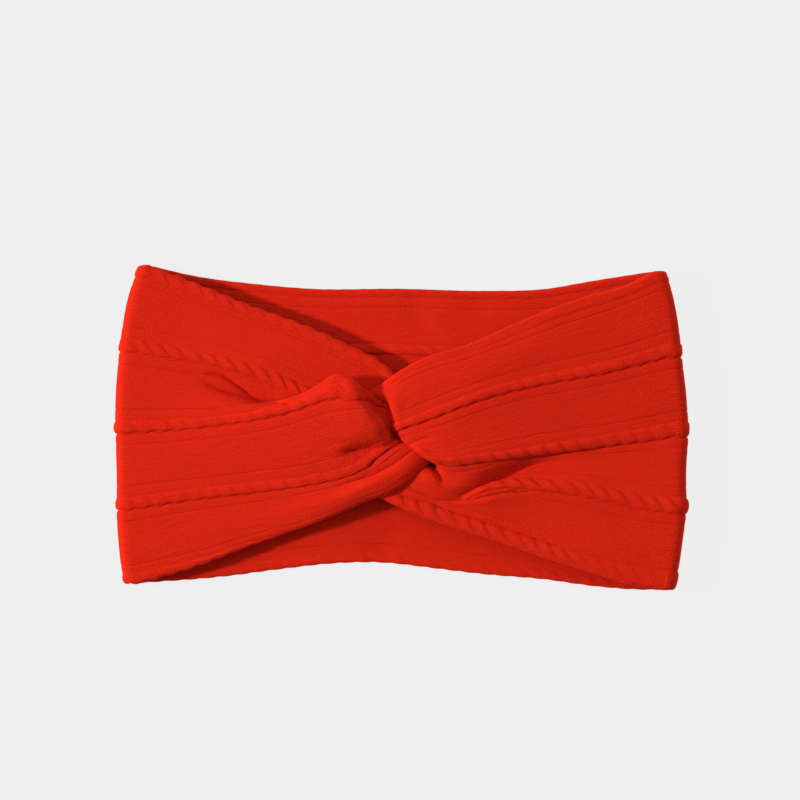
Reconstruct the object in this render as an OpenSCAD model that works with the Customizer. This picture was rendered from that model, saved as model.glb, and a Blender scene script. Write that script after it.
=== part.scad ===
// Wide twist-front headband of doubled knit cloth, lying flat on its back band.
// X runs along the band from side fold to side fold, Y up the band's height, Z up from the surface.
// The front is two wide bands that come from the side folds, fold in half lengthwise and hook
// round each other in the middle, where one cross seam joins them out of sight.

/* [Band] */
// Width of the headband lying flat, over both side folds
band_w = 220; // [190:1:250]
// Height of the band at its corners
side_h = 125; // [100:1:140]
// Height of the back band at its middle
waist_h = 105; // [85:1:110]
// Thickness of the doubled cloth
cloth_t = 2.6; // [2:0.1:3.2]
// Height of the space between front and back, where the head goes
head_gap = 5.4; // [5:0.1:8]
// How far the corners lie inside the fullest part of a side fold
corner_in = 8; // [4:0.5:12]

/* [Twist] */
// Height of a front leaf's free edge above the middle, at the twist
neck_y = 22; // [18:1:26]
// How far a front leaf's lengthwise fold hangs past the middle, at the twist
fold_y = 15; // [12:1:18]
// Height of the lengthwise fold past the middle, at the side fold
fold_side_y = 2; // [0:0.5:6]
// Free edge of a rear leaf below the middle, at the twist
rear_y = 31.5; // [28:0.5:36]
// How far a rear leaf runs up behind the front leaf, at the twist
tuck = 12; // [6:1:13]
// Distance from a side fold's join to where the lengthwise pleat opens
pleat_run = 18; // [12:1:30]

/* [Seams] */
// Width of the cross seam's allowance, with both sides opened out
allowance_w = 7.4; // [5:0.2:7.6]
// Height of the allowance's four layers, pressed flat
allowance_t = 3.6; // [2:0.1:4]
// Thread thickness
thread_d = 0.5; // [0.3:0.05:0.6]
// Distance from stitch to stitch
stitch_pitch = 6; // [4:0.5:10]

/* [Hidden] */
cloth_color = [0.80, 0.12, 0.07];
thread_color = [0.72, 0.10, 0.06];
layer_gap = 0.3;                          // air between cloth layers that lie on each other
fold_r = cloth_t + head_gap / 2;          // outer radius of a side fold
front_z = cloth_t + head_gap;             // underside of the front
twist_z = front_z + cloth_t + layer_gap;  // underside of the front leaves at the twist
half_h = side_h / 2;
leaf_end_x = allowance_w / 2 + layer_gap; // where a front leaf ends beside the cross seam
rear_end_x = -8;                          // where a rear leaf ends, past the middle
corner_x = join_x(half_h);
steps_x = 18;                             // facets along a leaf
steps_y = 7;                              // facets across a leaf
steps_arc = 10;                           // facets round a side fold

function lerp(a, b, t) = a + (b - a) * t;
function ease(t) = let (c = max(0, min(1, t))) c * c * (3 - 2 * c);

// Where the flat cloth meets a side fold, at height y
function join_x(y) = band_w / 2 - fold_r - corner_in * pow(abs(y) / half_h, 2.2);
// The share of the way from the middle to a corner, at x
function out_share(x) = max(0, min(1, x / corner_x));
// The back band's free edges bow in towards the middle
function back_edge_y(x) = lerp(waist_h / 2, half_h, pow(out_share(abs(x)), 2.2));
// Edges of the right-hand leaves
function front_free_y(x) = lerp(neck_y, half_h, out_share(x));
function front_fold_y(x) = -lerp(fold_y, fold_side_y, pow(out_share(x), 1.5));
function rear_free_y(x) = -lerp(rear_y, half_h, out_share(x));
function rear_tuck_y(x) = front_fold_y(x) + tuck * ease((corner_x - pleat_run - x) / 60);
// The front leaf climbs over the rear leaf, and carries its turned-under ply along the fold
function front_lift(x) = (twist_z - front_z) * ease((join_x(0) - x) / pleat_run);
function turned_ply(x, v) = cloth_t * v * ease((corner_x - pleat_run - x) / 40);

// Heights of the points down a side fold: the upper leaf's, then the lower leaf's
side_ys = concat([for (j = [0:steps_y]) lerp(half_h, -fold_side_y, j / steps_y)],
                 [for (j = [1:steps_y]) lerp(-fold_side_y, -half_h, j / steps_y)]);

// A closed slab between two grids of points, low(i, j) and high(i, j)
module slab(ni, nj, low, high) {
    points = concat([for (i = [0:ni], j = [0:nj]) low(i, j)],
                    [for (i = [0:ni], j = [0:nj]) high(i, j)]);
    at = function (side, i, j) side * (ni + 1) * (nj + 1) + i * (nj + 1) + j;
    quads = concat(
        [for (i = [0:ni - 1], j = [0:nj - 1]) [at(1, i, j), at(1, i + 1, j), at(1, i + 1, j + 1), at(1, i, j + 1)]],
        [for (i = [0:ni - 1], j = [0:nj - 1]) [at(0, i, j + 1), at(0, i + 1, j + 1), at(0, i + 1, j), at(0, i, j)]],
        [for (i = [0:ni - 1]) [at(0, i, 0), at(0, i + 1, 0), at(1, i + 1, 0), at(1, i, 0)]],
        [for (i = [0:ni - 1]) [at(0, i + 1, nj), at(0, i, nj), at(1, i, nj), at(1, i + 1, nj)]],
        [for (j = [0:nj - 1]) [at(0, 0, j), at(1, 0, j), at(1, 0, j + 1), at(0, 0, j + 1)]],
        [for (j = [0:nj - 1]) [at(0, ni, j + 1), at(1, ni, j + 1), at(1, ni, j), at(0, ni, j)]]);
    polyhedron(points, [for (q = quads, k = [0, 1]) [q[0], q[1 + k], q[2 + k]]]);
}

// A leaf from x = end_x at the twist out to the side fold, between the edges y0(x) and y1(x)
module leaf(end_x, y0, y1, z_low, z_high) {
    spot = function (i, j, z) let (
        v = j / steps_y,
        x = lerp(end_x, join_x(lerp(y0(corner_x), y1(corner_x), v)), i / steps_x))
        [x, lerp(y0(x), y1(x), v), z(x, v)];
    slab(steps_x, steps_y, function (i, j) spot(i, j, z_low), function (i, j) spot(i, j, z_high));
}

module front_leaf() {
    leaf(leaf_end_x, function (x) front_free_y(x), function (x) front_fold_y(x),
         function (x, v) front_z + front_lift(x),
         function (x, v) front_z + front_lift(x) + cloth_t + turned_ply(x, v));
}

module rear_leaf() {
    leaf(rear_end_x, function (x) rear_tuck_y(x), function (x) rear_free_y(x),
         function (x, v) front_z, function (x, v) front_z + cloth_t);
}

module side_fold() {
    spot = function (i, j, r) let (a = 90 - 180 * i / steps_arc)
        [join_x(side_ys[j]) + r * cos(a), side_ys[j], fold_r + r * sin(a)];
    slab(steps_arc, len(side_ys) - 1,
         function (i, j) spot(i, j, head_gap / 2), function (i, j) spot(i, j, fold_r));
}

module half_turn() { rotate([0, 0, 180]) children(); }

// A row of stitches along X: a lying thread with a bar across it at each stitch
module stitch_row(length, bar) {
    bars = floor(length / stitch_pitch);
    translate([-length / 2, 0, thread_d / 2]) rotate([0, 90, 0]) cylinder(d = thread_d, h = length, $fn = 16);
    for (k = [0:bars - 1])
        translate([(k - (bars - 1) / 2) * stitch_pitch, -bar / 2, thread_d / 2])
            rotate([-90, 0, 0]) cylinder(d = thread_d, h = bar, $fn = 16);
}

module back_band() {
    right_side = [for (y = side_ys) [join_x(y), y]];
    top_edge = [for (i = [1:steps_x - 1]) let (x = lerp(corner_x, -corner_x, i / steps_x)) [x, back_edge_y(x)]];
    half_outline = concat([for (i = [steps_x - 2:-1:0]) top_edge[i]], right_side);
    color(cloth_color) linear_extrude(cloth_t) polygon(concat(half_outline, -half_outline));
}

module right_side_fold() { color(cloth_color) side_fold(); }
module left_side_fold() { color(cloth_color) half_turn() side_fold(); }
module right_upper_leaf() { color(cloth_color) front_leaf(); }
module left_lower_leaf() { color(cloth_color) half_turn() front_leaf(); }
module right_lower_leaf() { color(cloth_color) rear_leaf(); }
module left_upper_leaf() { color(cloth_color) half_turn() rear_leaf(); }

// The strip's cut ends, opened out behind the twist
module twist_seam_allowance() {
    color(cloth_color) translate([-allowance_w / 2, -fold_y, twist_z])
        cube([allowance_w, 2 * fold_y, allowance_t]);
}

module twist_seam_stitching() {
    color(thread_color) translate([0, 0, twist_z + allowance_t])
        rotate([0, 0, 90]) stitch_row(2 * fold_y - 2, allowance_w - 2);
}

// The seam that closes the tube runs along the inner face of the back band
module tube_seam_stitching() {
    color(thread_color) translate([0, 0, cloth_t]) stitch_row(2 * corner_x, 4);
}

back_band();
left_side_fold();
right_side_fold();
left_upper_leaf();
left_lower_leaf();
right_upper_leaf();
right_lower_leaf();
twist_seam_allowance();
twist_seam_stitching();
tube_seam_stitching();
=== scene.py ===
"""Wide twist-front headband of doubled cable-knit cloth, lying flat, seen from straight above."""
import math

import bpy
import numpy as np
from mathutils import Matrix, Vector


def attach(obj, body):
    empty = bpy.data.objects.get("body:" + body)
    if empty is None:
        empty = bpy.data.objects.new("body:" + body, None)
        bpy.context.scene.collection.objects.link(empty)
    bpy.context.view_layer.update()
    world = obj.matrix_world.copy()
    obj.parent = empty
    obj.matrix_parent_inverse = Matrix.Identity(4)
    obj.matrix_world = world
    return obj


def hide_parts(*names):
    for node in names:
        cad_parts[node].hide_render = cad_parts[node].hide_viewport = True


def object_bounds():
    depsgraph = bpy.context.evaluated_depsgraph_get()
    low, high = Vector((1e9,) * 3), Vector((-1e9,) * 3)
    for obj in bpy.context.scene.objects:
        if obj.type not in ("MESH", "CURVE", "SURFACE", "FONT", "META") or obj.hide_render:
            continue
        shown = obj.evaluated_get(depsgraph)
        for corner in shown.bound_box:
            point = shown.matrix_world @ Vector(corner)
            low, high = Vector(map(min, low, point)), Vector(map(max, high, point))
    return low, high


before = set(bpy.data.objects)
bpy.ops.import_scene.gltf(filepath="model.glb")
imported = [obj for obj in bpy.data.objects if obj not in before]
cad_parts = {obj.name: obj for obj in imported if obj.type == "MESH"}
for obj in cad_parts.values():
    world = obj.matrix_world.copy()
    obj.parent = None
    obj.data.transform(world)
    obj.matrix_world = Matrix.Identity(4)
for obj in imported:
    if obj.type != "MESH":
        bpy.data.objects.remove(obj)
cad_low, cad_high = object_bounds()

# ---------------------------------------------------------------- frame and cloth sizes, in millimetres
MM = 0.001
CAD_W = (cad_high.x - cad_low.x) / MM
CAD_H = (cad_high.y - cad_low.y) / MM
DESIGN_W, DESIGN_H = 220.0, 125.0          # the size at which the lines below are written
FIT = np.array([CAD_W / DESIGN_W, CAD_H / DESIGN_H, 1.0])

CLOTH_H = 2.2             # thickness of the doubled cloth, without the knit's relief
HALF = CLOTH_H / 2
PANEL = 30.5              # width of the cloth from one cable column to the next
CABLES = 5                # cable columns across the band, the outer two on its free edges
BACK_Z = 1.95             # mid-height of the back band
RIB = 7.0                 # from a cable's middle to the single purl rib on each side of it
LINE_WIDTH = 0.42         # how wide the pressed lines beside the cables are, and the single ribs
LOBE_PITCH = 6.7          # from one lobe of a cable to the next

# ---------------------------------------------------------------- the bands' lines
# Each line follows the cloth lengthwise, from the side fold to the twist: (x, y, mid-height of the cloth).
# Its key is the place across the band, in cable columns from the upper free edge (0) to the lower one (4).
LEFT_LINES = {
    0.0: [(-97.4, 61.2, 9.0), (-80, 54.4, 9.0), (-58, 45.5, 9.0), (-39, 38.6, 8.9), (-22, 31, 8.8),
          (-9.4, 24.6, 8.6), (-3, 19, 8.5), (5, 13, 8.3)],
    0.5: [(-101.5, 47, 9.2), (-83, 42, 9.2), (-60, 34.8, 9.5), (-40, 27.8, 9.7), (-24, 20.5, 9.0),
          (-10, 13, 7.6), (3, 6, 7.0)],
    1.0: [(-104, 31.4, 9.3), (-87, 28.7, 9.3), (-73, 26.2, 9.7), (-64.5, 24.2, 10.2), (-51, 19.8, 10.6),
          (-39, 14.6, 9.8), (-26, 9, 8.4), (-12, 4, 7.4), (1, 1, 6.8)],
    1.25: [(-104.8, 23.8, 9.3), (-88, 21.2, 9.3), (-73, 19.0, 9.2), (-60, 14.4, 8.5), (-48, 10.3, 8.0),
           (-36, 6, 7.8), (-22, 1, 7.4), (-3, -1.5, 6.8)],
    1.5: [(-105.4, 15.8, 9.3), (-88, 14.2, 9.4), (-73, 12.6, 9.8), (-60, 9.6, 9.4), (-50, 5.8, 9.0),
          (-39, 2.4, 9.0), (-24, -2.5, 8.8), (-8, -2.8, 7.4)],
    1.7: [(-105.6, 9.4, 9.3), (-88, 8.8, 9.6), (-73, 8.6, 10.9), (-60, 8.2, 11.6), (-50, 7.8, 11.6),
          (-39, 8.6, 11.6), (-27, 11.5, 12.0), (-19, 9.4, 10.2), (-11, 6.4, 8.2)],
    1.85: [(-105.8, 4.6, 9.3), (-88, 5.0, 9.8), (-73, 5.8, 11.3), (-60, 7.2, 12.7), (-50, 9.0, 13.3),
           (-39, 12.2, 14.1), (-31, 16.5, 14.9), (-26.5, 19.4, 15.8), (-19.6, 17.3, 16.0),
           (-17.4, 15.3, 13.3), (-16.2, 14.2, 11.2), (-12, 12.0, 10.2), (-6, 10, 9.8)],
    2.0: [(-105.8, 0.3, 9.3), (-88, 1.2, 9.7), (-73, 2.6, 10.9), (-60, 4.4, 12.5), (-50, 6.3, 13.8),
          (-39, 9.2, 15.0), (-31, 12.4, 16.1), (-25, 13.9, 16.9), (-21, 13.3, 17.6), (-17.7, 12.6, 17.6),
          (-16.3, 12.1, 14.0), (-15.5, 11.8, 11.6), (-13.4, 11.0, 10.6), (-8, 9.0, 10.1), (-3, 7.6, 9.7)],
    2.25: [(-105.6, -7.1, 9.3), (-84, -5.6, 10.0), (-66, -3.7, 11.8), (-44, 0.5, 14.2), (-28, 5.2, 16.4),
           (-18.6, 6.6, 17.9), (-14.3, 6.8, 17.9), (-12.9, 6.6, 14.0), (-12.1, 6.4, 11.6),
           (-9.6, 5.9, 10.6), (-2, 4.6, 9.8)],
    2.5: [(-105.4, -14.5, 9.3), (-80, -12.2, 10.1), (-60, -9.5, 11.8), (-39, -6, 14.0), (-24, -2.2, 15.9),
          (-14.2, 0.6, 17.4), (-9.9, 1.3, 17.0), (-8.5, 1.5, 13.6), (-7.7, 1.6, 11.0), (-5, 1.7, 9.8),
          (0, 1.6, 9.2)],
    2.75: [(-105.3, -21.8, 9.3), (-79, -18.8, 9.8), (-56, -15.9, 11.2), (-35, -12.8, 13.3),
           (-20, -8.8, 15.0), (-11.2, -5.0, 15.5), (-7.3, -3.8, 14.4), (-5.9, -3.3, 11.6),
           (-5.1, -3.0, 7.8), (-1.5, -1.8, 6.2)],
    3.0: [(-105.2, -29, 9.3), (-78, -25.2, 9.6), (-52, -22.2, 10.8), (-31, -19.2, 12.6),
          (-22, -17.0, 13.4), (-16, -14.2, 13.9), (-11.4, -10.2, 14.0), (-7.6, -7.8, 13.4),
          (-4.4, -6.4, 11.2), (-2, -5.4, 8.6), (1, -4.4, 7.8)],
    3.3: [(-105, -38, 9.3), (-77, -33, 9.3), (-52, -29, 10.2), (-30, -24.4, 12.0), (-19, -20.9, 12.8),
          (-11.7, -17.2, 13.2), (-6.5, -14.0, 13.2), (-1.5, -10.4, 12.8), (2.9, -8.0, 11.6),
          (7, -6.6, 9.6)],
    3.6: [(-104.2, -47.6, 9.3), (-77, -41.2, 9.2), (-52, -35, 10.0), (-30, -28.8, 12.2),
          (-19, -25.0, 13.6), (-12, -21.8, 14.2), (-4, -18.0, 14.4), (1, -15.0, 14.0), (5, -12.2, 12.8),
          (9, -10, 10.6)],
    3.85: [(-103.2, -54.8, 9.2), (-80, -49.6, 9.0), (-53, -40.9, 9.2), (-39, -37.0, 9.8),
           (-25, -31.2, 11.0), (-14, -26.5, 11.8), (-7, -24.1, 12.2), (-1, -20.7, 12.4), (5, -15.6, 11.8),
           (9, -12.2, 10.6)],
    4.0: [(-102.5, -58.6, 9.0), (-83.6, -53.3, 8.7), (-53, -41.9, 8.2), (-39, -36.7, 8.2),
          (-27, -31.9, 8.8), (-13.6, -26.4, 9.6), (-7, -24.3, 10.0), (-1.5, -21.2, 10.2),
          (5, -16.2, 10.2), (9, -12.6, 10)],
}
RIGHT_LINES = {
    0.0: [(96.1, 59.0, 9.0), (84, 53.2, 9.2), (71.4, 49.8, 9.5), (57, 44.8, 10.0), (37, 36.4, 11.1),
          (24.3, 30.8, 12.0), (11.3, 26.9, 12.5), (4.6, 24.1, 12.6), (-3.9, 18.9, 12.2), (-9, 15.4, 10.8),
          (-13, 13, 9.4)],
    0.25: [(98.2, 52, 9.2), (80, 44.9, 9.6), (62, 39.2, 10.4), (40, 31.2, 11.8), (24, 25.8, 12.9),
           (11, 22.1, 13.4), (3, 18.9, 13.4), (-4, 14.9, 12.9), (-8.9, 12.4, 11.6), (-9.9, 11.8, 10.2),
           (-9.6, 11.9, 8.8)],
    0.5: [(99.7, 45, 9.3), (80, 38, 9.8), (60, 32.5, 10.9), (40, 26.5, 12.3), (24, 21.3, 13.4),
          (10, 17.0, 13.9), (2, 13.4, 13.8), (-4.9, 10.4, 12.9), (-5.4, 10.1, 11.2), (-5.4, 10.1, 9.8),
          (-4.8, 10.3, 8.4)],
    0.75: [(100.9, 37.3, 9.3), (78, 30.2, 10.0), (56, 25.4, 11.2), (35, 19.8, 12.9), (21, 15.2, 14.0),
           (9.4, 10.8, 14.2), (2, 7.8, 14.0), (-3.8, 5.4, 13.0), (-4.2, 5.2, 11.4), (-4.2, 5.2, 10.0),
           (-3.6, 5.3, 8.4)],
    1.0: [(101.9, 29.6, 9.3), (75.6, 22.7, 10.2), (51.5, 18.1, 11.6), (31.2, 13.0, 13.5),
          (19.3, 8.8, 14.5), (8, 4.2, 14.5), (0.9, 1.8, 14.1), (-2.7, 0.7, 13.1), (-3.0, 0.6, 11.5),
          (-3.0, 0.6, 10), (-2.4, 0.6, 8.2)],
    1.3: [(102.8, 20.5, 9.3), (75, 14.2, 10.3), (50, 9.8, 12), (30, 4.6, 14), (15, -0.5, 15.1),
          (6.4, -3.0, 14.5), (1.6, -3.9, 13.3), (0.2, -4.0, 12.0), (0.1, -4.0, 10.4), (0.8, -4.0, 8.8)],
    1.65: [(103.9, 10, 9.3), (78, 4.6, 10.4), (50, 0.5, 12.4), (30, -4.0, 14.6), (16, -7.4, 15.6),
           (9, -8.2, 14.9), (4.5, -7.1, 14.3), (3.2, -6.8, 12.8), (3.0, -6.6, 10.8), (3.4, -6.5, 8.8)],
    2.0: [(104.6, -0.5, 9.3), (92.4, -2.6, 9.6), (80.5, -4.4, 10.4), (58.3, -7.4, 12),
          (39.6, -10.0, 13.6), (28.5, -11.4, 14.8), (18, -12.2, 15.1), (12.4, -11.5, 14.6),
          (8.9, -10.1, 13.8), (7.5, -9.3, 12.0), (6.9, -8.9, 10.0), (6.5, -8.6, 8.2)],
    2.12: [(104.5, -4.2, 9.3), (92, -6, 9.3), (80, -7.4, 9.7), (58, -9.3, 10.9), (39.6, -11.4, 12.2),
           (28.5, -13.4, 13.6), (20, -14.6, 13.2), (14.8, -13.8, 12.2), (12.9, -13.0, 10.8),
           (12.2, -12.6, 8.2), (10.8, -11.8, 6.5), (8.6, -10.6, 5.8)],
    2.3: [(104.1, -9.5, 9.3), (92, -10.3, 9.1), (80, -10.8, 9.1), (66, -11.0, 9.2), (56, -10.8, 9.2),
          (50, -11.0, 9.8), (43.6, -12.3, 10.8), (38, -13.7, 11.6), (33, -15.0, 12.2), (27, -16.6, 12.6),
          (20, -18.0, 11.8), (15.4, -16.8, 11.2), (13.7, -15.8, 10.2), (12.9, -15.0, 7.6),
          (11.6, -14.0, 5.6), (9.8, -12.2, 4.9)],
    2.55: [(103.7, -16.5, 9.3), (85, -16.0, 9.1), (66, -14.6, 8.9), (57, -13.2, 8.0), (50, -13.8, 7.0),
           (43.6, -16.2, 6.9), (38.6, -18.0, 7.5), (32, -19.8, 9.0), (26, -21.2, 10.7), (20, -21.8, 11.3),
           (15.4, -20.2, 11.0), (12.6, -18.0, 10.9), (11.0, -16.2, 8.4), (9.0, -13.6, 4.9)],
    2.8: [(103.6, -23.8, 9.3), (85, -21.5, 9.3), (66, -18.4, 9.5), (52, -17.6, 8.7), (44, -18.5, 7.9),
          (38.6, -20.0, 7.0), (28.5, -23.2, 7.8), (20.5, -25.0, 10.2), (13.4, -22.4, 11.6),
          (9.6, -18.4, 12.0), (6.6, -15.6, 10.4), (3, -12.4, 7.8)],
    3.0: [(103.8, -29.7, 9.3), (92.4, -28.3, 9.3), (67, -23.4, 9.8), (52, -21.9, 9.9),
          (43.6, -21.3, 10.2), (36, -22.1, 10.4), (28.5, -24.4, 10.3), (20, -27.2, 9.7),
          (12, -25.9, 10.2), (5, -21.8, 10.6), (0, -19, 9.6), (-4, -17, 8.6)],
    3.5: [(101.9, -46, 9.3), (85, -43.5, 9.3), (67, -38.1, 9.3), (52, -33.5, 9.4), (39.6, -30.8, 9.6),
          (28.5, -30.4, 9.8), (20, -29.8, 9.8), (12, -27.6, 9.8), (4, -24.6, 9.8), (-4, -20.6, 9)],
    3.77: [(100.7, -54.4, 9.2), (80, -50.8, 9.1), (66, -47.2, 9), (54.5, -43.3, 9), (45.3, -40.4, 9.1),
           (36.9, -37.4, 9.2), (28.5, -34.9, 9.3), (19.3, -31.9, 9.3), (13.5, -29.2, 9.3),
           (7.6, -27.4, 9.2), (1.8, -26.2, 9.1), (-5, -23, 8.7)],
    4.0: [(99.6, -61.0, 9.0), (85, -58.4, 9.0), (67, -52.7, 9.0), (55.3, -49.2, 9.0), (47, -46.2, 8.9),
          (37.6, -43.0, 8.9), (27.7, -39.9, 8.9), (16.8, -36.4, 8.9), (6.8, -32.6, 8.8),
          (-1.3, -29.3, 8.7), (-9, -26, 8.4)],
}
# The back band's free edges, from the right-hand side fold to the left-hand one: (x, y)
BACK_TOP = [(97, 59.0), (84, 57), (71, 55), (54, 52.2), (32, 51.5), (0, 52.3), (-35, 52.3), (-56, 54.0),
            (-82, 57.6), (-98, 61.4)]
BACK_BOTTOM = [(101, -61.3), (88, -61.1), (71, -59.4), (54, -56.9), (33, -55.3), (11, -52.7), (-8, -50.6),
               (-27, -50.9), (-48, -53.2), (-73, -56.3), (-103, -58.8)]

# Creases: how deep, half the width, and the course in plan
LEFT_CREASES = [
    # The upper crease into the pleat
    (2.5, 0.9, [(-75, 20.8), (-69.5, 20.2), (-63.3, 16.3), (-53, 10.3), (-44, 8.8)]),
    # The lower one
    (2.6, 1.4, [(-76, 17.0), (-68, 13.8), (-61.8, 12.2), (-53, 9.6), (-43, 9.0)]),
    # Two that gather toward the twist
    (1.3, 0.8, [(-25, -22.2), (-19, -20.4), (-11.7, -18.1), (-4.4, -14.4), (1.1, -10.6), (5, -8)]),
    (0.8, 0.8, [(-14, -16.4), (-11.6, -13.4), (-9.5, -11.4), (-6.6, -9.7), (-3, -7.3), (-1, -6)]),
    # The dimple
    (4.2, 2.0, [(-23, -9.2), (-19, -8.4), (-15.5, -7.8), (-12, -7.4), (-8, -7.4)]),
    # Below it
    (1.3, 1.1, [(-18.5, -10.8), (-15, -11.2), (-11.5, -10.2)]),
    # Above it
    (0.5, 1.0, [(-30, -6.2), (-22, -4.9), (-14, -4.6), (-9, -4.4)]),
    # At the upper fold's corner
    (0.7, 1.2, [(-25.5, 17.5), (-23.2, 15.8), (-21.5, 13.5)]),
]
RIGHT_CREASES = [
    # Along the upper leaf's lower fold
    (1.2, 0.9, [(43, -11.7), (52, -10.3), (60, -9.5), (68, -8.7), (77, -7.8)]),
    # The small roll at the upper leaf's inner corner
    (0.9, 0.9, [(-1.5, -6.6), (2.2, -6.4), (5.1, -5.0), (8.4, -4.0), (11, -3.8)]),
    # The small hole
    (1.6, 1.8, [(8.0, -12.6), (10.4, -14.2), (13.2, -15.4)]),
    # The fold that runs down from it
    (0.7, 1.3, [(11.4, -14.6), (13.2, -17.6), (14.2, -20.4), (14.6, -23)]),
    # Above the lowest cable
    (2.6, 0.65, [(-7, -24.4), (1.8, -27.1), (7.6, -28.4), (13.5, -30.2), (19.3, -32.4), (28.5, -35.2),
                 (36.9, -37.8), (45.3, -40.6), (52, -43.0), (58, -45.2)]),
    # A fainter line above that
    (0.5, 0.7, [(13.5, -27.4), (24.4, -31.0), (34.4, -33.9), (43.6, -36.8), (52, -39.4)]),
    # Below the fourth cable
    (2.8, 0.65, [(13, -27.4), (21, -27.6), (26, -27.4), (32.7, -25.8), (38.6, -24.7), (48, -24.6)]),
]
# Broad, shallow dents in the back
BACK_CREASES = [
    (0.7, 4.0, [(2, 52), (6.2, 43), (9, 34)]),
    (0.5, 5.0, [(30, 50), (26, 42), (20, 34)]),
    (0.5, 5.0, [(-12, -52), (-7, -42), (-2, -34)]),
]


# ---------------------------------------------------------------- smooth curves through points
def spline(knots, values, at):
    """A smooth curve through values at the knots, by cubic Hermite steps, read at each of at."""
    knots, values = np.asarray(knots, float), np.asarray(values, float)
    shape = (-1,) + (1,) * (values.ndim - 1)          # lines a row of numbers up with the values
    step = np.diff(knots)
    slope = np.diff(values, axis=0) / step.reshape(shape)
    tangent = np.empty_like(values)
    tangent[0], tangent[-1] = slope[0], slope[-1]
    for i in range(1, len(knots) - 1):
        before, after = step[i - 1], step[i]
        tangent[i] = (after * slope[i - 1] + before * slope[i]) / (before + after)
    at = np.clip(at, knots[0], knots[-1])
    i = np.clip(np.searchsorted(knots, at, side="right") - 1, 0, len(knots) - 2)
    gap = step[i].reshape(shape)
    t = ((at - knots[i]) / step[i]).reshape(shape)
    return ((2 * t**3 - 3 * t**2 + 1) * values[i] + (t**3 - 2 * t**2 + t) * gap * tangent[i]
            + (3 * t**2 - 2 * t**3) * values[i + 1] + (t**3 - t**2) * gap * tangent[i + 1])


def distances(path):
    """How far along a path of points each point lies."""
    return np.concatenate([[0], np.cumsum(np.linalg.norm(np.diff(path, axis=0), axis=1))])


def line_points(points, count):
    """Evenly spread points along a line through the given ones, fitted to the CAD's width and height."""
    points = np.array(points, float) * FIT
    along = distances(points)
    return spline(along, points, np.linspace(0, along[-1], count))


def ease(t):
    """A smooth step from 0 to 1."""
    t = np.clip(t, 0, 1)
    return t * t * (3 - 2 * t)


def fade(value, start, end):
    """0 up to start, 1 from end on, and a smooth step between."""
    return ease((value - start) / (end - start))


# ---------------------------------------------------------------- the loop of cloth: its middle surface
ROWS_FRONT, ROWS_FOLD, ROWS_BACK = 260, 28, 170          # rows of grid points along each part of the loop
FINE_STEP, COARSE_STEP = 0.0125, 0.019         # between the grid's lengthwise lines, in cable columns
CABLE_REACH, RIB_REACH = 0.15, 0.025           # how far the fine steps reach from a cable and from a rib
SQUARE = 0.45                 # roundness of the side folds: 1 is a half circle, 0 a square end
SETTLE = 0.2                  # share of the back's length over which its edges leave the side folds' outline
SWAY = 0.25                   # how much the back's height varies
PROFILE_POINTS = 400          # points round a side fold, from which its rows are spaced evenly
COURSE_POINTS = 60            # points along a crease


def places_across():
    """Where the grid's lines lie across the band: close together at the cables and the single ribs."""
    places = [0.0]
    while places[-1] < CABLES - 1 - 1e-6:
        ahead = places[-1] + FINE_STEP / 2
        from_cable = abs(ahead - round(ahead))
        near = from_cable < CABLE_REACH or abs(from_cable - RIB / PANEL) < RIB_REACH
        places.append(min(places[-1] + (FINE_STEP if near else COARSE_STEP), CABLES - 1))
    return np.array(places)


ACROSS = places_across()


def front_band(lines, rows):
    """A smooth surface through the lines of one front band."""
    keys = sorted(lines)
    net = np.array([line_points(lines[k], rows) for k in keys])          # key, row, xyz
    return spline(keys, net, ACROSS).transpose(1, 0, 2)                  # row, across, xyz


def side_fold(join, side, rows):
    """The cloth's half turn from a front band down to the back. side is 1 on the right and -1 on the left."""
    centre_z, radius = (join[:, 2] + BACK_Z) / 2, (join[:, 2] - BACK_Z) / 2
    turn = np.linspace(0, math.pi, PROFILE_POINTS)
    profile = np.stack([np.sin(turn) ** SQUARE, np.cos(turn)], axis=-1)
    along = distances(profile)
    even = np.linspace(0, along[-1], rows)
    out, up = (np.interp(even, along, profile[:, k])[:, None] for k in (0, 1))
    x = join[:, 0] + side * radius * out
    return np.stack([x, np.broadcast_to(join[:, 1], x.shape), centre_z + radius * up], axis=-1)


def back_band(right_join, left_join, rows):
    """The flat back, from the right-hand side fold to the left-hand one."""
    share = np.linspace(0, 1, rows)[:, None]
    x = right_join[:, 0] + (left_join[:, 0] - right_join[:, 0]) * share
    edges = []
    for outline in (BACK_TOP, BACK_BOTTOM):
        outline = np.array(outline, float) * FIT[:2]
        edges.append(spline(-outline[:, 0], outline[:, 1], -x.ravel()).reshape(x.shape))
    y = edges[0] + (edges[1] - edges[0]) * (ACROSS / (CABLES - 1))
    from_right, from_left = 1 - fade(share, 0, SETTLE), fade(share, 1 - SETTLE, 1)
    y = y + (right_join[:, 1] - y[0]) * from_right + (left_join[:, 1] - y[-1]) * from_left
    sway = SWAY * np.sin(x / 17 + ACROSS) * np.sin(math.pi * share)
    return np.stack([x, y, BACK_Z + sway], axis=-1)


def creased(grid, creases):
    """Presses creases into a band. Each is deepest in its middle and fades at both ends."""
    depth = np.zeros(grid.shape[:2])
    for deep, half_width, course in creases:
        course = line_points([(x, y, 0) for x, y in course], COURSE_POINTS)[:, :2]
        way = np.linalg.norm(grid[:, :, None, :2] - course, axis=-1)
        nearest = way.argmin(axis=-1)
        fading = np.sin(math.pi * np.clip((nearest + 1) / (COURSE_POINTS + 1), 0, 1)) ** 0.6
        depth += deep * fading * np.exp(-(way.min(axis=-1) / half_width) ** 2)
    return grid - depth[..., None] * np.array([0, 0, 1.0])


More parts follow.
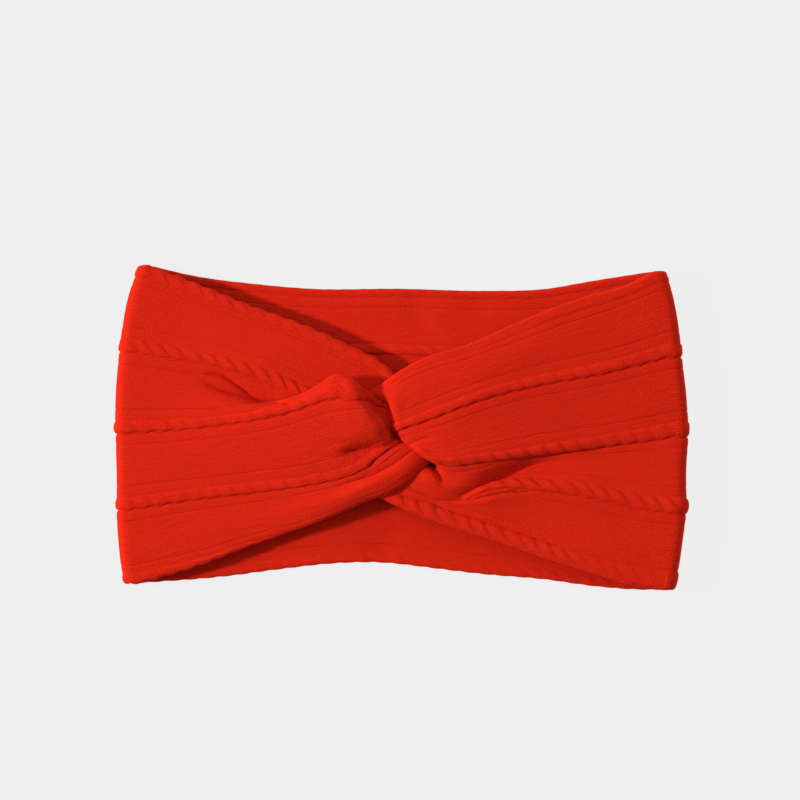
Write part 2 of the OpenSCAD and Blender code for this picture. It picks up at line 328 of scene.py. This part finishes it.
left = creased(front_band(LEFT_LINES, ROWS_FRONT), LEFT_CREASES)
right = creased(front_band(RIGHT_LINES, ROWS_FRONT), RIGHT_CREASES)
right_turn = side_fold(right[0], 1, ROWS_FOLD)
left_turn = side_fold(left[0], -1, ROWS_FOLD)[::-1]
back = creased(back_band(right_turn[-1], left_turn[0], ROWS_BACK), BACK_CREASES)

# One loop: the right front outwards, the right fold, the back, the left fold, the left front inwards
LOOP = {"right": right[::-1], "right_turn": right_turn[1:], "back": back[1:], "left_turn": left_turn[1:],
        "left": left[1:]}
MID = np.concatenate(list(LOOP.values()))
last_rows = np.cumsum([len(part) for part in LOOP.values()]) - 1
ROW = dict(zip(LOOP, zip([0, *last_rows], last_rows)))          # the first and the last row of each part
ROW_NUMBER = np.arange(len(MID))[:, None]


def soften(grid, passes):
    """Evens out small kinks along the band, and lets the ends stay."""
    for _ in range(passes):
        grid[1:-1] = (grid[:-2] + 2 * grid[1:-1] + grid[2:]) / 4
    return grid


MID = soften(MID, passes=6)


def unit(vectors):
    """Each vector at length 1."""
    return vectors / np.maximum(np.linalg.norm(vectors, axis=-1, keepdims=True), 1e-9)


def grid_normals(grid):
    """The surface's direction at each point of a grid."""
    along, across = np.gradient(grid, axis=0), np.gradient(grid, axis=1)
    return unit(np.cross(across, along))


NORMAL = grid_normals(MID)                   # out of the loop
steps = np.linalg.norm(np.diff(MID, axis=0), axis=-1)
LENGTH = np.concatenate([np.zeros((1, MID.shape[1])), np.cumsum(steps, axis=0)])
LENGTH -= LENGTH[ROW["back"][0] + ROWS_BACK // 2]          # counted from the middle of the back
# How wide the cloth lies at each place: 1 where it is not gathered at all
WIDTH = np.linalg.norm(np.gradient(MID, axis=1), axis=-1) / (np.gradient(ACROSS) * PANEL)


# ---------------------------------------------------------------- relief of the knit, in millimetres
UNDULATION = 0.16             # how far the cloth swells and sinks between the cables
RIB_DEPTH = 0.16              # how deep a single rib is pressed in
LOBE_ROUND = 0.7              # below 1, a lobe is fuller than a cosine
LOBE_TILT = 0.3               # how much steeper a lobe is on its far side
NARROWING = 0.16              # how much narrower a cable is between two lobes
JOINED = 0.46                 # height left between two lobes
JOINED_SLOPE = 0.28           # how much more of it is left on the cable's lower side
UNEVEN = 0.4                  # how much a cable's height varies
LOBE_SHIFT = 1.1              # how far a lobe strays along the cable
WANDER = 0.25                 # how far a cable strays across the band
BELOW, ABOVE = 0.35, 0.30     # from a cable's sides to the lines pressed in below it and above it
ABOVE_SHARE = 0.15            # depth of the line above, as a share of the one below
ABOVE_WIDTH = 0.40            # width of the line above


def waves(*phases):
    """A slow uneven swing between about -1 and 1, the mean of a few sines."""
    return sum(np.sin(p) for p in phases) / len(phases)


def rope(offset, phase, slant):
    """Height, about 0 to 1, of a cable's lobes.

    offset is the place across the cable in half-widths, and phase the place along it, a turn a lobe."""
    lean = phase - slant * offset
    lobe = np.abs(np.cos(lean / 2)) ** LOBE_ROUND
    reach = offset / (1 - NARROWING + NARROWING * lobe)
    round_top = np.sqrt(np.maximum(1 - reach**2, 0))
    joined = JOINED + JOINED_SLOPE * np.clip(offset, -1, 1)
    return round_top * (joined + (1 - joined) * lobe * (1 + LOBE_TILT * np.sin(lean)))


def groove(across_mm, centre, width):
    """A narrow line pressed in, sharp at its bottom."""
    return -np.exp(-np.abs((across_mm - centre) / width) ** 1.3)


def relief(length, across_mm, turn, cables, slack):
    """How far the knit stands out from the cloth's surface.

    turn is 1 on the outer ply and -1 on the inner; slack is 0 where the cloth is tightly gathered."""
    swell = waves(length / 9.1 + across_mm / 6.3,
                  length / 6.7 - across_mm / 14,
                  across_mm / 3.4 + length / 21)
    height = UNDULATION * slack * swell
    for column in range(CABLES):
        centre, half_width, rise, pressed, slant = cables[column]
        uneven = waves(length / 11.3 + 2 * column, length / 4.3 - 3 * column, length / 29 + column)
        phase = turn * 2 * math.pi * (length + LOBE_SHIFT * uneven) / LOBE_PITCH + 1.7 * column
        offset = (across_mm - centre - WANDER * uneven) / half_width
        height = height + rise * (1 + UNEVEN * uneven) * rope(offset, phase, slant)
        # Both pressed lines follow the lobes a little, and the lower one is a little deeper between them
        depth = pressed * (1 - 0.15 * np.cos(phase + 0.8) - 0.25 * uneven)
        lower_line = centre + half_width + BELOW
        height = height + depth * groove(across_mm - 0.3 * np.cos(phase), lower_line, LINE_WIDTH)
        upper_line = centre - half_width - ABOVE
        lighter = ABOVE_SHARE * pressed
        height = height + lighter * groove(across_mm + 0.2 * np.cos(phase), upper_line, ABOVE_WIDTH)
        for rib in (-RIB, RIB):
            height = height + RIB_DEPTH * slack * groove(across_mm, PANEL * column + rib, LINE_WIDTH)
    return height


def cable_set(shifts, half_widths, rises, pressed, slants):
    """For each cable its middle across the band, half-width, height, the depth of the line below, and slant.

    Each may be one number, or one for every row."""
    return [(PANEL * k + shifts[k], half_widths[k], rises[k], pressed[k], slants[k]) for k in range(CABLES)]


def blend_rows(at_right, at_left):
    """A value for every row: one on the right-hand front, one on the left, and a smooth change between."""
    share = fade(ROW_NUMBER, *ROW["back"])
    return at_right + (at_left - at_right) * share


def on_front(side, value):
    """A factor for every row that acts on one front band only, and is 1 elsewhere."""
    first, last = ROW[side]
    return np.where((ROW_NUMBER >= first) & (ROW_NUMBER <= last), value, 1.0)


# Cables that sink into the cloth or stand up more along the way, by the x of the upper or lower free edge
UPPER_X, LOWER_X = MID[:, :1, 0], MID[:, -1:, 0]
edge_sinks = on_front("right", fade(UPPER_X, 24, 60)) * on_front("left", 1 - 0.45 * fade(UPPER_X, -70, -40))
second_swells = on_front("left", 1 + 0.45 * fade(UPPER_X, -66, -52))
fourth_ends = on_front("right", fade(UPPER_X, 14, 25))
lowest_weakens = on_front("right", 1 - 0.55 * fade(LOWER_X, 48, 80))
OUTER_CABLES = cable_set(
    shifts=[blend_rows(1.4, 1.6), 0, 0, 0, blend_rows(-2.9, -1.2)],
    half_widths=[blend_rows(2.2, 2.4), 2.4, blend_rows(2.7, 2.4), blend_rows(3.0, 2.4), blend_rows(3.4, 2.2)],
    rises=[blend_rows(0.25, 0.52) * edge_sinks, blend_rows(0.6, 0.68) * second_swells, blend_rows(0.7, 0.6),
           blend_rows(0.78, 0.54) * fourth_ends, blend_rows(0.62, 0.45) * lowest_weakens],
    pressed=[blend_rows(0.15, 0.3), blend_rows(0.85, 0.4), 0.75, blend_rows(0.4, 0.7), 0.3],
    slants=[2.5, blend_rows(2.0, 2.5), 2.0, blend_rows(2.5, 1.9), blend_rows(3.0, 2.5)])
INNER_CABLES = cable_set(
    shifts=[0.2, -4.4, 0, 0, -0.4],
    half_widths=[2.0, 2.4, 2.3, 2.3, 2.3],
    rises=[0.3, 0.62, 0.55, 0.55, 0.35],
    pressed=[0.25, 0.5, 0.45, 0.45, 0.3],
    slants=[2.5] * CABLES)
# How far the lobes push the band's upper and lower free edge outwards
on_left = fade(ROW_NUMBER, *ROW["left_turn"])
SCALLOPS = (0.05 + 0.6 * on_left, blend_rows(0.4, 0.5) * (0.6 + 0.4 * on_left))


# ---------------------------------------------------------------- the cloth's two plies
EDGE_STEPS = 5                       # grid lines from a ply's edge to the middle of the free edge's soft fold
EDGE_FLAT = 0.6                      # how much of the relief goes at that middle
EDGE_PHASE = 3.4                     # how far the lower edge's scallops are shifted from the upper edge's
GATHERED, SLACK = 0.2, 0.6           # the widths at which the cloth is tightly gathered, and no longer is


def ply_surface(turn, cables, press):
    """Points, material places and grid columns of one ply, its share of both edge folds included.

    turn is 1 for the ply that faces out of the loop and -1 for the one that faces the head; press is how much
    of the relief is left."""
    columns = len(ACROSS)
    quarter = np.linspace(math.pi / 2, 0, EDGE_STEPS + 1)[:-1]
    column = np.concatenate([[0] * EDGE_STEPS, np.arange(columns), [columns - 1] * EDGE_STEPS])
    lean = np.concatenate([-quarter, np.zeros(columns), quarter[::-1]])
    edge_out = {-1: unit(MID[:, 0] - MID[:, 2]), 1: unit(MID[:, -1] - MID[:, -3])}
    outward = np.zeros((len(MID), len(column), 3))
    outward[:, :EDGE_STEPS] = edge_out[-1][:, None]
    outward[:, -EDGE_STEPS:] = edge_out[1][:, None]
    up, out = np.cos(lean), np.abs(np.sin(lean))
    direction = turn * NORMAL[:, column] * up[None, :, None] + outward * out[None, :, None]
    length = LENGTH[:, column]
    across_mm = np.broadcast_to(PANEL * ACROSS[column] + HALF * lean, length.shape)
    slack = fade(WIDTH[:, column], GATHERED, SLACK)
    height = relief(length, across_mm, turn, cables, slack) * (1 - EDGE_FLAT * out**3)
    scallop = np.zeros(height.shape)
    for edge, side in ((0, lean < 0), (1, lean > 0)):
        lobes = np.abs(np.cos(math.pi * length / LOBE_PITCH + EDGE_PHASE * edge)) - 0.5
        scallop += np.where(side, SCALLOPS[edge] * lobes * out, 0)
    points = MID[:, column] + direction * (HALF + height * press + scallop)[..., None]
    return points, np.stack([length, across_mm, turn * WIDTH[:, column]], axis=-1), column


# The back's outer ply lies on the surface, which presses its relief flat
FLATTENED = 0.75                     # how much of the relief goes
BLEND = 9                            # rows of the side folds over which it goes
back_from, back_to = ROW["back"]
on_floor = fade(ROW_NUMBER, back_from - BLEND, back_from) * (1 - fade(ROW_NUMBER, back_to, back_to + BLEND))
OUTER, OUTER_PLACE, COLUMN = ply_surface(1, OUTER_CABLES, 1 - FLATTENED * on_floor)
INNER, INNER_PLACE, _ = ply_surface(-1, INNER_CABLES, 1.0)
OUTER_NORMAL, INNER_NORMAL = grid_normals(OUTER), -grid_normals(INNER)


def quads(a, b, c, d):
    """Four-cornered faces from four equally shaped grids of point numbers."""
    return np.stack([a, b, c, d], axis=-1).reshape(-1, 4)


def mesh_piece(name, points, faces, places, smooth=True):
    """An object from points in millimetres. Its material reads each point's place on the cloth or thread."""
    mesh = bpy.data.meshes.new(name)
    mesh.from_pydata((points * MM).tolist(), [], faces)
    place = mesh.attributes.new("knit_place", "FLOAT_VECTOR", "POINT")
    place.data.foreach_set("vector", places.astype(np.float32).ravel())
    mesh.polygons.foreach_set("use_smooth", [smooth] * len(mesh.polygons))
    mesh.update()
    piece = bpy.data.objects.new(name, mesh)
    bpy.context.scene.collection.objects.link(piece)
    return piece


def cloth_piece(name, node, section, low, high):
    """One closed piece of the doubled cloth, between two rows of the loop and two places across the band."""
    first, last = ROW[section]
    keep = np.where((ACROSS[COLUMN] >= low - 1e-6) & (ACROSS[COLUMN] <= high + 1e-6))[0]
    folded_low, folded_high = keep[0] == 0, keep[-1] == len(COLUMN) - 1
    long, wide = last - first + 1, len(keep)
    window = np.ix_(range(first, last + 1), keep)
    points = np.concatenate([OUTER[window].reshape(-1, 3), INNER[window].reshape(-1, 3)])
    normals = np.concatenate([OUTER_NORMAL[window].reshape(-1, 3), INNER_NORMAL[window].reshape(-1, 3)])
    places = np.concatenate([OUTER_PLACE[window].reshape(-1, 3), INNER_PLACE[window].reshape(-1, 3)])
    outer = np.arange(long * wide).reshape(long, wide)
    inner = outer + long * wide
    # At a free edge the two plies share the points along the middle of the fold
    if folded_low:
        inner[:, 0] = outer[:, 0]
    if folded_high:
        inner[:, -1] = outer[:, -1]

    faces = [quads(outer[:-1, :-1], outer[:-1, 1:], outer[1:, 1:], outer[1:, :-1]),
             quads(inner[:-1, :-1], inner[1:, :-1], inner[1:, 1:], inner[:-1, 1:]),
             quads(outer[0, :-1], inner[0, :-1], inner[0, 1:], outer[0, 1:]),
             quads(outer[-1, :-1], outer[-1, 1:], inner[-1, 1:], inner[-1, :-1])]
    if not folded_low:
        faces.append(quads(outer[:-1, 0], outer[1:, 0], inner[1:, 0], inner[:-1, 0]))
    if not folded_high:
        faces.append(quads(outer[:-1, -1], inner[:-1, -1], inner[1:, -1], outer[1:, -1]))
    # Where a face then names a point twice it becomes a triangle, and points that no face names are left out
    polygons = [list(dict.fromkeys(face)) for face in np.concatenate(faces).tolist()]
    used = np.unique(np.concatenate([np.array(face) for face in polygons]))
    renumber = np.full(len(points), -1)
    renumber[used] = np.arange(len(used))
    piece = mesh_piece(name, points[used], [renumber[face].tolist() for face in polygons], places[used])
    piece.data.normals_split_custom_set_from_vertices(normals[used].tolist())
    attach(piece, "root")
    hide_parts(node)
    return piece


# ---------------------------------------------------------------- materials
class Shader:
    """A small builder for one material's nodes."""

    def __init__(self, name):
        self.material = bpy.data.materials.new(name)
        self.material.use_nodes = True
        self.tree = self.material.node_tree
        self.bsdf = self.tree.nodes["Principled BSDF"]

    def node(self, kind, inputs=(), **settings):
        """A new node with its inputs, by name or number, and its settings."""
        made = self.tree.nodes.new(kind)
        for key, value in settings.items():
            setattr(made, key, value)
        for socket, value in dict(inputs).items():
            self.feed(made.inputs[socket], value)
        return made

    def feed(self, socket, value):
        """Gives an input a plain value, or links another node's output to it."""
        if isinstance(value, bpy.types.NodeSocket):
            self.tree.links.new(value, socket)
        else:
            socket.default_value = value

    def maths(self, operation, *values):
        """One step of arithmetic."""
        return self.node("ShaderNodeMath", dict(enumerate(values)), operation=operation).outputs[0]

    def noise(self, vector, scale, detail=2.0):
        """Smooth noise between 0 and 1."""
        made = self.node("ShaderNodeTexNoise", {"Vector": vector, "Scale": scale, "Detail": detail})
        return made.outputs["Fac"]

    def mix(self, share, first, second):
        """A colour between two."""
        made = self.node("ShaderNodeMix", {"Factor": share}, data_type="RGBA")
        self.feed(made.inputs[6], first)
        self.feed(made.inputs[7], second)
        return made.outputs[2]

    def bump(self, height, distance, strength=1.0, normal=None):
        """A surface direction tilted by a height, on top of an earlier one where that is given."""
        made = self.node("ShaderNodeBump", {"Height": height, "Distance": distance, "Strength": strength})
        if normal is not None:
            self.feed(made.inputs["Normal"], normal)
        return made.outputs["Normal"]


WALE, COURSE = 1.12, 0.98            # width and height of one knit stitch, in millimetres
DEEP_RED = (0.400, 0.0058, 0.0009, 1)
BRIGHT_RED = (0.800, 0.0215, 0.0052, 1)
WORN_RED = (0.61, 0.0133, 0.0031, 1)
SHEEN_RED = (1.0, 0.16, 0.07, 1)
STITCH_BUMP, YARN_BUMP, PLY_BUMP = 0.00010, 0.00030, 0.00006          # heights in metres
DRIFT = 1.6                          # how far the rows and columns of stitches wander, in millimetres
V_SLOPE = 0.7                        # how far a stitch's outside runs ahead of its middle, in rows
STITCH_SHARE, FUZZ_SHARE = 0.50, 2.2                # how much each counts in the grain
RIB_BUMP = 0.8                                      # how deep a single rib is beside the grain
# Painted shade: the colour goes towards deep red in the stitches' hollows and along the single ribs; the
# fuzz's share of the grain is random tone
GRAIN_SHADE, RIB_SHADE, MEAN_SHADE = 0.31, 0.16, 0.60          # how each counts from deep red to bright red


def knit_material():
    """Fine jersey: columns of V-shaped stitches that run along the band, fuzzy, slightly uneven in colour,
    with painted shade in the stitches' hollows and along the single ribs.
    """
    shader = Shader("knit_cloth")
    maths, noise = shader.maths, shader.noise
    place = shader.node("ShaderNodeAttribute", attribute_name="knit_place").outputs["Vector"]
    parts = shader.node("ShaderNodeSeparateXYZ", {"Vector": place})
    along, across = parts.outputs["X"], parts.outputs["Y"]
    width = maths("ABSOLUTE", parts.outputs["Z"])

    # The stitches: rows of loops, and a gap between two columns
    drift = maths("MULTIPLY", noise(place, scale=0.30), DRIFT)
    column = maths("FRACT", maths("DIVIDE", maths("ADD", across, drift), WALE))
    from_middle = maths("MULTIPLY", maths("ABSOLUTE", maths("SUBTRACT", column, 0.5)), 2.0)
    row = maths("DIVIDE", maths("ADD", along, drift), COURSE)
    row_phase = maths("ADD", row, maths("MULTIPLY", from_middle, V_SLOPE))
    loops = maths("SINE", maths("MULTIPLY", row_phase, 2 * math.pi))
    gap = maths("POWER", from_middle, 3.0)
    stitches = maths("SUBTRACT", maths("MULTIPLY", loops, 0.5), gap)
    patchy = maths("ADD", 0.45, noise(place, scale=0.16))
    fuzz = maths("SUBTRACT", noise(place, scale=1.15, detail=4.0), 0.5)

    # Where the cloth is gathered its stitches are too close together to tell apart
    gathering = {"Value": width, "From Min": 0.4, "From Max": 1.0, "To Max": 1.15}
    spread = shader.node("ShaderNodeMapRange", gathering, interpolation_type="SMOOTHSTEP").outputs[0]
    clear_stitches = maths("MULTIPLY", stitches, maths("MULTIPLY", patchy, spread))
    clear_fuzz = maths("MULTIPLY", fuzz, maths("MINIMUM", 1.0, maths("ADD", spread, 0.5)))
    grain = maths("ADD", maths("MULTIPLY", clear_stitches, STITCH_SHARE),
                  maths("MULTIPLY", clear_fuzz, FUZZ_SHARE))

    # The single ribs beside each cable are thin pressed lines, fainter here and there, and their colour is
    # darkened as painted shade
    from_rib = maths("ABSOLUTE", maths("SUBTRACT", maths("PINGPONG", across, PANEL / 2), RIB))
    rib = maths("SUBTRACT", 1.0, maths("MINIMUM", 1.0, maths("DIVIDE", from_rib, LINE_WIDTH)))
    rib = maths("MULTIPLY", rib, maths("MULTIPLY", noise(place, scale=0.22), 1.7))

    height = maths("SUBTRACT", grain, maths("MULTIPLY", rib, RIB_BUMP))
    drawn_out = {0: place, 1: (0.2, 1.0, 1.0)}          # along the band, as the yarn's fibres lie
    fibres = shader.node("ShaderNodeVectorMath", drawn_out, operation="MULTIPLY").outputs[0]
    yarn = noise(fibres, scale=0.7, detail=3.0)
    direction = shader.bump(yarn, YARN_BUMP, normal=shader.bump(height, STITCH_BUMP))
    shader.feed(shader.bsdf.inputs["Normal"], direction)

    # Painted shade: the colour is darker where the stitches' hollows and the ribs sink in, and the fuzz adds
    # random tone
    shade = maths("SUBTRACT", maths("MULTIPLY", grain, GRAIN_SHADE), maths("MULTIPLY", rib, RIB_SHADE))
    tone_with_painted_shade = shader.mix(maths("ADD", MEAN_SHADE, shade), DEEP_RED, BRIGHT_RED)
    wear = maths("MULTIPLY", noise(place, scale=0.06, detail=3.0), 0.3)
    shader.feed(shader.bsdf.inputs["Base Color"], shader.mix(wear, tone_with_painted_shade, WORN_RED))
    shader.feed(shader.bsdf.inputs["Roughness"], maths("ADD", 0.88, maths("MULTIPLY", fuzz, 0.16)))
    shader.bsdf.inputs["Specular IOR Level"].default_value = 0.08
    shader.bsdf.inputs["Sheen Weight"].default_value = 0.10
    shader.bsdf.inputs["Sheen Roughness"].default_value = 0.4
    shader.bsdf.inputs["Sheen Tint"].default_value = SHEEN_RED
    return shader.material


# Painted shade: the thread's colour is darker in the hollows between its plies and lighter on their crests
THREAD_HOLLOW_SHADE, THREAD_CREST = (0.40, 0.010, 0.004, 1), (0.60, 0.020, 0.009, 1)


def thread_material():
    """Twisted sewing thread: fine diagonal ply lines with a slight sheen, and painted shade in the hollows
    between the plies.
    """
    shader = Shader("seam_thread")
    maths = shader.maths
    place = shader.node("ShaderNodeAttribute", attribute_name="knit_place").outputs["Vector"]
    parts = shader.node("ShaderNodeSeparateXYZ", {"Vector": place})
    twist = maths("ADD", maths("MULTIPLY", parts.outputs["X"], 9.0), parts.outputs["Y"])
    ply = maths("ADD", maths("MULTIPLY", maths("SINE", twist), 0.5), 0.5)
    shader.feed(shader.bsdf.inputs["Normal"], shader.bump(ply, PLY_BUMP, strength=0.8))
    shader.feed(shader.bsdf.inputs["Base Color"], shader.mix(ply, THREAD_HOLLOW_SHADE, THREAD_CREST))
    uneven = maths("MULTIPLY", shader.noise(place, scale=1.5), 0.15)
    shader.feed(shader.bsdf.inputs["Roughness"], maths("ADD", 0.42, uneven))
    shader.bsdf.inputs["Sheen Weight"].default_value = 0.1
    return shader.material


# ---------------------------------------------------------------- the pieces
KNIT, THREAD = knit_material(), thread_material()
LEFT_CUT, RIGHT_CUT = 1.5, 2.3       # where each front band is cut into an upper and a lower leaf
PIECES = [
    # name, CAD node, rows, places across, flat size (width, length) in metres
    ("cloth_back_band", "back_band", "back", 0, 4, (0.122, 0.204)),
    ("cloth_left_side_fold", "left_side_fold", "left_turn", 0, 4, (0.122, 0.013)),
    ("cloth_right_side_fold", "right_side_fold", "right_turn", 0, 4, (0.122, 0.013)),
    ("cloth_left_upper_leaf", "left_upper_leaf", "left", 0, LEFT_CUT, (0.046, 0.110)),
    ("cloth_left_lower_leaf", "left_lower_leaf", "left", LEFT_CUT, 4, (0.076, 0.110)),
    ("cloth_right_upper_leaf", "right_upper_leaf", "right", 0, RIGHT_CUT, (0.070, 0.110)),
    ("cloth_right_lower_leaf", "right_lower_leaf", "right", RIGHT_CUT, 4, (0.052, 0.110)),
]


def nearest_column(place):
    """The number of the grid's lengthwise line that is closest to a place across the band."""
    return int(np.argmin(np.abs(ACROSS - place)))


for name, node, section, low, high, flat in PIECES:
    piece = cloth_piece(name, node, section, ACROSS[nearest_column(low)], ACROSS[nearest_column(high)])
    piece.data.materials.append(KNIT)


# ---------------------------------------------------------------- seams
def tube(name, path, radius, sides=8):
    """A closed thread mesh along a path of points, in millimetres."""
    path = np.asarray(path, float)
    tangent = unit(np.gradient(path, axis=0))
    side = unit(np.cross(tangent, [0.0, 0.0, 1.0]))
    up = np.cross(side, tangent)
    turn = np.linspace(0, 2 * math.pi, sides, endpoint=False)
    ring = np.cos(turn)[:, None] * side[:, None] + np.sin(turn)[:, None] * up[:, None]
    points = (path[:, None] + radius * ring).reshape(-1, 3)
    along, around = np.repeat(distances(path), sides), np.tile(turn, len(path))
    places = np.stack([along, around, np.zeros(len(points))], axis=-1)
    rings = np.arange(len(points)).reshape(len(path), sides)
    following = np.roll(rings, -1, axis=1)               # each point's neighbour round its ring
    faces = quads(rings[:-1], following[:-1], following[1:], rings[1:]).tolist()
    faces += [rings[0, ::-1].tolist(), rings[-1].tolist()]
    piece = mesh_piece(name, points, faces, places)
    piece.data.materials.append(THREAD)
    return piece


POINTS_A_STITCH = 12
SHARP = 0.97                  # 1 would give the zigzag's turns a point
THREAD_R = 0.2


def zigzag(line, normal, width, pitch, lift):
    """A zigzag stitch along a line of points: side to side every half pitch, into the cloth at each turn."""
    line = np.asarray(line, float)
    length = distances(line)
    at = np.arange(0, length[-1], pitch / POINTS_A_STITCH)
    centre = np.stack([np.interp(at, length, line[:, k]) for k in range(3)], axis=-1)
    tangent = unit(np.gradient(centre, axis=0))
    side = unit(np.cross(normal, tangent))
    swing = 2 / math.pi * np.arcsin(SHARP * np.sin(2 * math.pi * at / pitch))
    dip = lift * (1 - np.abs(swing) ** 6 * 1.6)
    return centre + side * (swing * width / 2)[:, None] + np.array(normal) * dip[:, None]


TUBE_SEAM_AT = 2.5            # between the third and the fourth cable, on the inner face of the back
tube_line = INNER[back_from:back_to + 1, EDGE_STEPS + nearest_column(TUBE_SEAM_AT)]
tube_stitches = zigzag(tube_line, (0, 0, 1), width=3.4, pitch=2.6, lift=0.15)
tube_seam = tube("tube_seam_thread", tube_stitches, THREAD_R)
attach(tube_seam, "root")
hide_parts("tube_seam_stitching")

# The cross seam runs under the twist from the left band's fold down to the right band's
CROSS_SEAM = [(-8.5, 10, 9.6), (-2, 5, 9.9), (2.5, -1, 10.2), (6, -6, 10.2), (9.5, -10.5, 10.0)]


def ruffle(name, line, width, thickness):
    """The cut ends of the cloth, a narrow puckered strip beside the cross seam."""
    long, wide = 60, 9                 # points along and across the strip
    share = np.linspace(0, 1, wide)[None, :, None]
    pucker = 0.35 * np.sin(np.linspace(0, 11 * math.pi, long))[:, None]
    sideways = np.array([1.0, 0.35, 0.0])
    top = line_points(line, long)[:, None] + sideways * width * share
    top[..., 2] += thickness / 2 + pucker * share[..., 0]
    low = top - np.array([0, 0, thickness])
    points = np.concatenate([top.reshape(-1, 3), low.reshape(-1, 3)])
    upper = np.arange(long * wide).reshape(long, wide)
    lower = upper + long * wide
    faces = [quads(upper[:-1, :-1], upper[1:, :-1], upper[1:, 1:], upper[:-1, 1:]),
             quads(lower[:-1, :-1], lower[:-1, 1:], lower[1:, 1:], lower[1:, :-1]),
             quads(upper[0, :-1], upper[0, 1:], lower[0, 1:], lower[0, :-1]),
             quads(upper[-1, :-1], lower[-1, :-1], lower[-1, 1:], upper[-1, 1:]),
             quads(upper[:-1, 0], lower[:-1, 0], lower[1:, 0], upper[1:, 0]),
             quads(upper[:-1, -1], upper[1:, -1], lower[1:, -1], lower[:-1, -1])]
    piece = mesh_piece(name, points, np.concatenate(faces).tolist(), points, smooth=False)
    piece.data.materials.append(KNIT)
    return piece


allowance = ruffle("seam_allowance_cloth", CROSS_SEAM, width=10.0, thickness=1.4)
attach(allowance, "root")
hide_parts("twist_seam_allowance")
cross_line = line_points(CROSS_SEAM, 80) + np.array([1.6, 0.5, 0.9])          # on top of the strip
cross_stitches = zigzag(cross_line, (0, 0, 1), width=2.4, pitch=2.4, lift=0.1)
cross_seam = tube("twist_seam_thread", cross_stitches, THREAD_R)
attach(cross_seam, "root")
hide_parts("twist_seam_stitching")


# ---------------------------------------------------------------- floor, light and camera
WHITE = (1, 1, 1, 1)


def floor(reach, grey, glow):
    """A pale table top. Most of its tone is its own glow, so that it stays even all round the band."""
    corners = [(-reach, -reach, 0), (reach, -reach, 0), (reach, reach, 0), (-reach, reach, 0)]
    mesh = bpy.data.meshes.new("floor")
    mesh.from_pydata(corners, [], [(0, 1, 2, 3)])
    made = bpy.data.objects.new("floor", mesh)
    bpy.context.scene.collection.objects.link(made)
    shader = Shader("floor")
    shader.bsdf.inputs["Base Color"].default_value = (grey, grey, grey, 1)
    shader.bsdf.inputs["Roughness"].default_value = 1.0
    shader.bsdf.inputs["Specular IOR Level"].default_value = 0.0
    shader.bsdf.inputs["Emission Color"].default_value = WHITE
    shader.bsdf.inputs["Emission Strength"].default_value = glow
    mesh.materials.append(shader.material)


def softbox(name, azimuth, elevation, distance, size, strength):
    """A round lamp aimed at the band's middle.

    azimuth (0 is +X, counterclockwise) and elevation are in degrees; strength is the light that arrives."""
    data = bpy.data.lights.new(name, "AREA")
    data.shape, data.size = "DISK", size
    data.energy = strength * math.pi * distance**2
    made = bpy.data.objects.new(name, data)
    around, up = math.radians(azimuth), math.radians(elevation)
    towards = Vector((math.cos(around) * math.cos(up), math.sin(around) * math.cos(up), math.sin(up)))
    made.location = towards * distance
    made.rotation_mode = "QUATERNION"
    made.rotation_quaternion = (-made.location).to_track_quat("-Z", "Y")
    bpy.context.scene.collection.objects.link(made)


def room(strength, slope):
    """White light from all round, stronger by slope from the side of +Y, and weaker by it from -Y."""
    world = bpy.data.worlds.new("studio")
    bpy.context.scene.world = world
    world.use_nodes = True
    nodes, links = world.node_tree.nodes, world.node_tree.links
    background = nodes["Background"]
    background.inputs["Color"].default_value = WHITE
    direction = nodes.new("ShaderNodeTexCoord")
    split = nodes.new("ShaderNodeSeparateXYZ")
    graded = nodes.new("ShaderNodeMath")
    graded.operation = "MULTIPLY_ADD"
    graded.inputs[1].default_value, graded.inputs[2].default_value = slope, strength
    links.new(direction.outputs["Generated"], split.inputs[0])
    links.new(split.outputs["Y"], graded.inputs[0])
    links.new(graded.outputs[0], background.inputs["Strength"])


floor(reach=3.0, grey=0.025, glow=0.837)
softbox("key", azimuth=178, elevation=29, distance=2.2, size=0.23, strength=3.35)
room(strength=0.506, slope=0.50)

SENSOR = 36.0
CAMERA_PLACE = (-0.00134, 0.0107, 2.0)     # straight above, slightly off the band's middle, in metres
BAND_TOP = 0.010                           # the height at which the picture's width is measured
BANDS_WIDE = 1.391                         # how many times the band's width the picture shows there
VIEW_WIDTH = CAD_W * BANDS_WIDE * MM
camera_data = bpy.data.cameras.new("camera")
camera_data.sensor_width = SENSOR
camera_data.lens = SENSOR * (CAMERA_PLACE[2] - BAND_TOP) / VIEW_WIDTH
camera = bpy.data.objects.new("camera", camera_data)
camera.location = CAMERA_PLACE
bpy.context.scene.collection.objects.link(camera)
bpy.context.scene.camera = camera
bpy.context.scene.view_settings.view_transform = "Standard"
